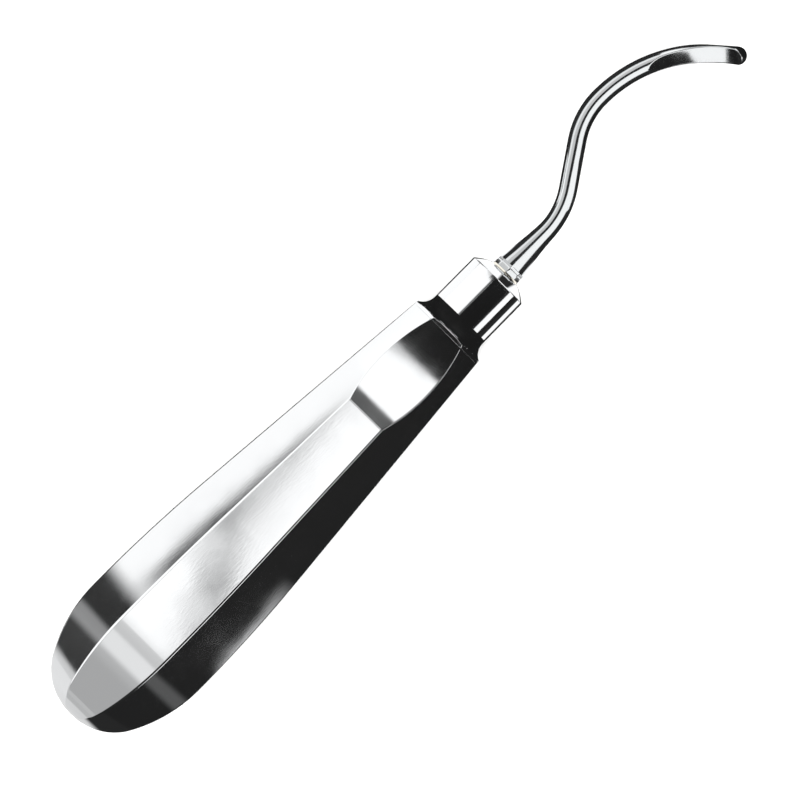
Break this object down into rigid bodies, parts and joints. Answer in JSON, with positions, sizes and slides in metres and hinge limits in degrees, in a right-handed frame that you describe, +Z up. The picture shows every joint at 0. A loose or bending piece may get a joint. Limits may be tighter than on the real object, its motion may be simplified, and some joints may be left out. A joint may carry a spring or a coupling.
{
  "type": "dental elevator",
  "caption": "Root elevator with an eight-sided hollow steel handle, thumb scoops, a turned ferrule and a bent shank ending in a hooked, hollow-ground blade",
  "frame": {"origin": "middle of the planar back of the handle, on the surface that the instrument rests on", "axes": "+X along the instrument towards the tip, +Y to the left side where the shank's S-bend stands out, +Z up out of the thumb scoop's face; the handle's own axis slopes 5.1 degrees down towards the tip because the tapered back lies flat"},
  "size_m": [0.1554, 0.0244, 0.0256],
  "materials": {
    "shell_steel": "mirror-polished austenitic stainless sheet",
    "ferrule_steel": "turned and mirror-polished stainless steel",
    "blade_steel": "hardened martensitic stainless steel, fine-polished",
    "hard_solder": "bright silver solder fillet",
    "turned_steel": "plain turned stainless steel"
  },
  "bodies": {
    "root": {"handle_front_shell": "shell_steel", "handle_back_shell": "shell_steel", "ferrule": "ferrule_steel", "working_end": "blade_steel", "solder_ring": "hard_solder", "tang_sleeve": "turned_steel", "tang_pin": "turned_steel", "centring_disc": "turned_steel"}
  },
  "joints": []
}
